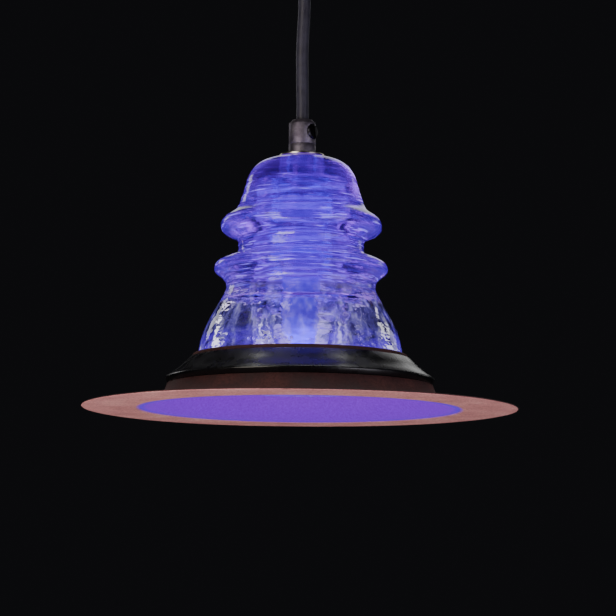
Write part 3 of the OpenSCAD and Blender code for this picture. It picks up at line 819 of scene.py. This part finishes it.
class LAMP_OT_grips(bpy.types.Operator):
    """Makes both cord grips, their threaded studs and their slotted set screws"""

    bl_idname = "lamp.grips"
    bl_label = "Cord grips"

    def execute(self, context):
        steel = turned_steel("aged_turned_steel", "#6a6270", "#a79fac", 0.52)
        black = blackened_steel()
        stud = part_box("cord_grip")[1][2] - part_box("cord_grip")[0][2] - GRIP_LENGTH * MM
        lower = make_grip("lamp_cord_grip", stud / MM, LAMP_SCREW_TURN)
        settle(lower, lift(GRIP_TOP - GRIP_LENGTH * MM))
        hand_over(lower, "cord_grip", "lamp", steel)
        upper = make_grip("canopy_grip_body", 9, -CANOPY_SCREW_TURN)
        settle(upper, lift(CANOPY_LOW) @ Matrix.Rotation(TAU / 2, 4, "X"))
        hand_over(upper, "canopy_cord_grip", "ceiling", steel)
        screws = (
            ("lamp_set_screw_head", "grip_screw", "lamp_set_screw", LAMP_SCREW_TURN,
             GRIP_TOP - SCREW_DROP * MM, 18),
            ("canopy_set_screw_head", "canopy_grip_screw", "canopy_set_screw", CANOPY_SCREW_TURN,
             CANOPY_LOW - (GRIP_LENGTH - SCREW_DROP) * MM, 55),
        )
        for name, node, body, turn, height, slot_turn in screws:
            screw = make_set_screw(name)
            settle(screw, outward(turn, height) @ Matrix.Rotation(math.radians(slot_turn), 4, "Z"))
            hand_over(screw, node, body, black)
        return {"FINISHED"}


def washer(name, node, outer, inner, made):
    """A flat ring with rounded edges on the lamp's stack, between its CAD node's heights."""
    low, high = (corner[2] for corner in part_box(node))
    bottom, top = (low - BRIM) / MM, (high - BRIM) / MM
    edge = min(0.2, (top - bottom) / 3)
    ring = turned(name, [
        (inner, bottom + edge), (inner + edge, bottom), (outer - edge, bottom), (outer, bottom + edge),
        (outer, top - edge), (outer - edge, top), (inner + edge, top), (inner, top - edge)
    ], BRIM, 72)
    hand_over(ring, node, "lamp", made)


def hex_nut(name, node, body, made):
    """A hexagon nut with chamfered corners, at its CAD node's place."""
    low, high = (corner[2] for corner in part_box(node))
    middle, thickness = lift((low + high) / 2), (high - low) / MM
    nut = rod(name, 6, 7 / math.cos(TAU / 12), thickness, middle @ Matrix.Rotation(TAU / 4, 4, "Z"))
    corner = turned("chamfer", [(0, -1), (7.4, 0), (8.2, 0.6), (8.2, thickness - 0.6), (7.4, thickness),
                                (0, thickness + 1)], low, 72, hollow=False)
    apply_modifier(nut, "BOOLEAN", operation="INTERSECT", solver="EXACT", object=corner)
    bpy.data.objects.remove(corner)
    cut(nut, rod("bore", 64, 5.15, thickness * 2, middle))
    smooth(nut)
    hand_over(nut, node, body, made)


class LAMP_OT_stack(bpy.types.Operator):
    """Makes the washers, gaskets and nuts that clamp the grip to the glass and the canopy"""

    bl_idname = "lamp.stack"
    bl_label = "Washers and nuts"

    def execute(self, context):
        zinc = zinc_plate()
        washer("crown_plate", "crown_washer", 9.4, 5.2, nickel_washer_plate())
        washer("crown_seal", "crown_gasket", 9, 5.2, soft_rubber("pale_silicone", "#d9d1c0", "#e8e1d2"))
        washer("inner_seal", "inner_gasket", 9, 5.2, soft_rubber("black_neoprene", "#1e1d1f", "#343235"))
        washer("inner_plate", "inner_washer", 9.4, 5.2, zinc)
        hex_nut("lamp_nut", "lock_nut", "lamp", zinc)
        hex_nut("canopy_nut", "canopy_lock_nut", "ceiling", zinc)
        return {"FINISHED"}


# ---------------------------------------------------------------- the bulb and its holder

class LAMP_OT_bulb(bpy.types.Operator):
    """Makes the frosted bulb: envelope, moulded base, wire pin loops and the board of chips"""

    bl_idname = "lamp.bulb"
    bl_label = "Bulb"

    def execute(self, context):
        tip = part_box("bulb_envelope")[0][2]
        envelope = turned("frosted_tube", arc(8, 0, 8, -90, 0, 18) + [(8, 13), (8, 19), (8, 25.4)]
                          + arc(0.3, 7.7, 25.6, 0, 90, 2) + [(7.3, 25.9), (7.1, 25.7), (7.1, 19), (7.1, 13)]
                          + arc(7.1, 0, 8, 0, -90, 16), tip, 64, hollow=False)
        hand_over(envelope, "bulb_envelope", "bulb", frosted_envelope_glass())
        base = turned("bulb_foot", [
            (0, 0), (6.7, 0), (7, 0.3), (7, 3), (7.5, 3), (7.7, 3.3), (7.7, 4.6), (7.5, 4.9), (7.55, 6),
            (7.3, 8.6), (7.05, 11.2), (6.6, 11.7), (0, 11.7)
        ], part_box("bulb_base")[0][2], 64, hollow=False)
        hand_over(base, "bulb_base", "bulb", moulded_plastic("white_moulded_base", "#e3e0d8", 0.45))
        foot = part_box("bulb_pins")[0][2]
        bend = [(1, 0), (1, 4), (1, 8.2), (0.71, 8.95), (0, 9.3), (-0.71, 8.95), (-1, 8.2), (-1, 4), (-1, 0)]
        loops = [as_mesh(wire("pin", [(x * MM, y * MM, foot + z * MM) for x, z in bend], 0.8 * MM, 4))
                 for y in (-4.5, 4.5)]
        pins = join("bulb_pin_loops", *loops)
        hand_over(pins, "bulb_pins", "bulb", turned_steel("tinned_wire", "#a9aaad", "#cfd0d4", 0.3))
        board = block("chip_board", (-3.2, -0.5, 0), (3.2, 0.5, 19), 0.1)
        chips = [block("chip", (-1.4, front, 1.6 + 3.4 * row), (1.4, front + 0.9, 3.6 + 3.4 * row), 0.15)
                 for front in (-1.3, 0.4) for row in range(5)]
        white, glow = moulded_plastic("white_board", "#e9ebf4"), chip_phosphor()
        board.data.materials.append(white)
        for chip in chips:
            chip.data.materials.append(glow)
        board = join("chip_board", board, *chips)
        settle(board, lift(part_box("led_board")[0][2]))
        hand_over(board, "led_board", "bulb")
        return {"FINISHED"}


# ---------------------------------------------------------------- the cord

class LAMP_OT_cord(bpy.types.Operator):
    """Makes the free cord, taut from the canopy's grip to the lamp's"""

    bl_idname = "lamp.cord"
    bl_label = "Cord"

    def execute(self, context):
        diameter = context.scene.lamp.cord_diameter
        piece = as_mesh(wire("supply_cord", CORD_ROUTE, diameter, 6))
        piece.name = piece.data.name = "supply_cord"
        piece.data.materials.append(cord_jacket_rubber())
        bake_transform(piece)
        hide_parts("cord")
        return {"FINISHED"}


# ---------------------------------------------------------------- the ceiling end

class LAMP_OT_canopy(bpy.types.Operator):
    """Makes the spun canopy with its thumb-screw holes, and its two knurled thumb screws"""

    bl_idname = "lamp.canopy"
    bl_label = "Canopy"

    def execute(self, context):
        radius, corner, wall = CANOPY_RADIUS, 6, 1
        shell = turned("canopy_shell", (
            [(5.25, 0), (5.25, wall), (20, wall), (40, wall)]
            + arc(corner - wall, radius - corner, corner, -90, 0, 10)
            + [(radius - wall, 15), (radius - wall, 25.8), (radius - wall + 0.2, 26)]
            + [(radius - 0.2, 26), (radius, 25.8), (radius, 15)]
            + arc(corner, radius - corner, corner, 0, -90, 10)
            + [(40, 0), (20, 0)]
        ), CANOPY_LOW, 128)
        cut(shell, rod("drill", 40, 2.1, 140, outward(0, THUMB_SCREW_LEVEL)))
        smooth(shell)
        hand_over(shell, "canopy", "ceiling", satin_black_lacquer())
        for side, node, body in ((-1, "thumb_screw_left", "left_thumb_screw"),
                                 (1, "thumb_screw_right", "right_thumb_screw")):
            hand_over(make_thumb_screw(node + "_knurled", side), node, body, blackened_steel())
        return {"FINISHED"}


def make_thumb_screw(name, side):
    """A round-headed thumb screw along the X axis, with knurled flutes round its head."""
    low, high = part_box("thumb_screw_left")
    inner, tip = -high.x / MM, -low.x / MM
    shank = CANOPY_RADIUS + 0.1 - inner
    end = tip - inner
    thread = [(1.95 - (0.25 if i % 2 else 0), 0.6 + 0.4 * i) for i in range(9)]
    screw = turned(name, (
        [(0, 0), (1.5, 0), (1.95, 0.4)] + thread
        + [(1.95, 4.3), (1.95, shank - 0.05), (4.2, shank)]
        + arc(0.3, 4.2, shank + 0.3, -90, 0, 3)
        + arc(0.6, 3.9, end - 0.6, 0, 90, 4)
        + [(2.4, end), (2, end - 0.3), (0, end - 0.35)]
    ), steps=96, hollow=False)
    for vertex in screw.data.vertices:
        x, y, z = vertex.co
        if z > (shank + 0.4) * MM and math.hypot(x, y) > 3.9 * MM:
            flute = max(0, math.cos(24 * math.atan2(y, x))) ** 2
            vertex.co = (x * (1 - 0.07 * flute), y * (1 - 0.07 * flute), z)
    spot = (side * inner * MM, 0, THUMB_SCREW_LEVEL)
    return settle(screw, Matrix.Translation(spot) @ Matrix.Rotation(side * TAU / 4, 4, "Y"))


class LAMP_OT_hidden(bpy.types.Operator):
    """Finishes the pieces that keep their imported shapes: bracket, splices, leads and lampholder"""

    bl_idname = "lamp.hidden"
    bl_label = "Bracket, leads and lampholder"

    def execute(self, context):
        zinc, brass = zinc_plate(), rolled_brass()
        paint(zinc, "mounting_bracket", "canopy_star_washer", "holder_bracket")
        paint(moulded_plastic("green_painted_screw", "#2f6b3a", 0.4), "ground_screw")
        paint(moulded_plastic("orange_nylon", "#b5652a", 0.45), "wire_connectors")
        paint(moulded_plastic("lead_insulation", "#2a282c", 0.45), "canopy_leads", "lamp_leads")
        paint(cord_jacket_rubber(), "canopy_jacket_end", "lamp_jacket_end")
        paint(brass, "bracket_screws", "holder_contacts")
        paint(steatite(), "lampholder")
        return {"FINISHED"}


# ---------------------------------------------------------------- the studio

MIDDLE = (0, 0, -0.17)      # the point that most lights aim at
# Each light's name, place, aim, diameter in metres, power in watts and colour
SOFTBOXES = (
    ("key", (-0.75, -0.9, 0.1), MIDDLE, 0.6, 4.5, "#fff6ea"),
    ("fill", (0.9, -0.75, -0.3), MIDDLE, 0.8, 3.6, "#f6f1ff"),
    ("under_left", (-0.35, -0.6, -0.62), (0, 0, BRIM), 0.4, 4, "#fff4f0"),
    ("rim_left", (-0.6, 0.7, 0.15), MIDDLE, 0.25, 0.3, "#ffffff"),
    ("rim_right", (0.65, 0.65, 0.05), MIDDLE, 0.25, 0.15, "#ffffff"),
    ("overhead", (0, 0.1, 0.9), MIDDLE, 0.8, 7.5, "#ffffff"),
    ("behind", (0.1, 1.2, 0.55), MIDDLE, 0.9, 1.8, "#ffffff"),
)


def pale_studio_floor():
    """Matt painted floor: warm pale grey, slightly uneven. Its underside is clear, for views from below."""
    made, tree, skin, place = new_material("pale_studio_floor", "#d8d5d0", Roughness=0.8)
    cloud = grain(tree, place, 0.4, 3.0)
    add_node(tree, "ValToRGB", [cloud], stops=((0.3, "#d3d0ca"), (0.7, "#dddad5")), feeds=skin["Base Color"])
    underside = add_node(tree, "NewGeometry")["Backfacing"]
    add_node(tree, "Math", [1.0, underside], operation="SUBTRACT", feeds=skin["Alpha"])
    return made


def softbox(name, spot, aim, size, power, colour):
    """A soft area light at a spot, aimed at a point."""
    light = bpy.data.lights.new(name, "AREA")
    light.shape = "DISK"
    light.size = size
    light.energy = power
    light.color = linear(colour)[:3]
    made = bpy.data.objects.new(name, light)
    made.location = spot
    made.rotation_euler = (Vector(aim) - Vector(spot)).to_track_quat("-Z", "Y").to_euler()
    bpy.context.scene.collection.objects.link(made)


def add_camera():
    """A long lens 1.02 m in front of the lamp and 87 mm below its brim, that looks up by 7.2 degrees."""
    lens = bpy.data.cameras.new("camera")
    lens.lens = 146.3
    lens.sensor_width = 36
    lens.clip_start = 0.01
    camera = bpy.data.objects.new("camera", lens)
    camera.location = (0.003, -1.02, above(-86.9))
    level = 90
    tilt = Matrix.Rotation(math.radians(level + 7.2), 4, "X") @ Matrix.Rotation(math.radians(0.52), 4, "Z")
    camera.rotation_euler = tilt.to_euler()
    bpy.context.scene.collection.objects.link(camera)
    bpy.context.scene.camera = camera


def add_bulb_spill(lamp):
    """The bulb's light on what is near it. It stands just above the brim, and isn't seen itself."""
    light = bpy.data.lights.new("bulb_spill", "POINT")
    light.energy = 0.16
    light.shadow_soft_size = 0.012
    light.color = lamp.bulb_colour
    spill = bpy.data.objects.new("bulb_spill", light)
    spill.location = (0, 0, above(12))
    bpy.context.scene.collection.objects.link(spill)
    spill.visible_camera = False
    spill.visible_glossy = False
    spill.visible_transmission = False
    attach(spill, "lamp")


class LAMP_OT_stage(bpy.types.Operator):
    """Sets the camera, the pale floor, the soft lights and the lamp's own light"""

    bl_idname = "lamp.stage"
    bl_label = "Studio"

    def execute(self, context):
        lamp = context.scene.lamp
        add_camera()
        start_fresh()
        bpy.ops.mesh.primitive_plane_add(size=12, location=(0, 0, -lamp.floor_drop))
        floor = context.object
        floor.name = floor.data.name = "studio_floor"
        floor.data.materials.append(pale_studio_floor())
        world = bpy.data.worlds.new("studio_air")
        world.use_nodes = True
        world.node_tree.nodes["Background"].inputs["Color"].default_value = linear("#101012")
        context.scene.world = world
        for light in SOFTBOXES:
            softbox(*light)
        add_bulb_spill(lamp)
        return {"FINISHED"}


class LAMP_PT_panel(bpy.types.Panel):
    """Lists the lamp's sizes, colours and pieces"""

    bl_label = "Insulator lamp"
    bl_idname = "LAMP_PT_panel"
    bl_space_type = "VIEW_3D"
    bl_region_type = "UI"
    bl_category = "Lamp"

    def draw(self, context):
        for name in LampProperties.__annotations__:
            self.layout.prop(context.scene.lamp, name)
        for piece in PIECES:
            self.layout.operator(piece.bl_idname)


PIECES = (
    LAMP_OT_stage, LAMP_OT_cord, LAMP_OT_glass, LAMP_OT_hood, LAMP_OT_grips, LAMP_OT_stack, LAMP_OT_bulb,
    LAMP_OT_canopy, LAMP_OT_hidden,
)
CLASSES = (LampProperties, *PIECES, LAMP_PT_panel)


def register():
    for made in CLASSES:
        bpy.utils.register_class(made)
    bpy.types.Scene.lamp = PointerProperty(type=LampProperties)


def unregister():
    del bpy.types.Scene.lamp
    for made in reversed(CLASSES):
        bpy.utils.unregister_class(made)


def main():
    register()
    for piece in PIECES:
        getattr(bpy.ops.lamp, piece.bl_idname.removeprefix("lamp."))()


if __name__ == "__main__":
    main()
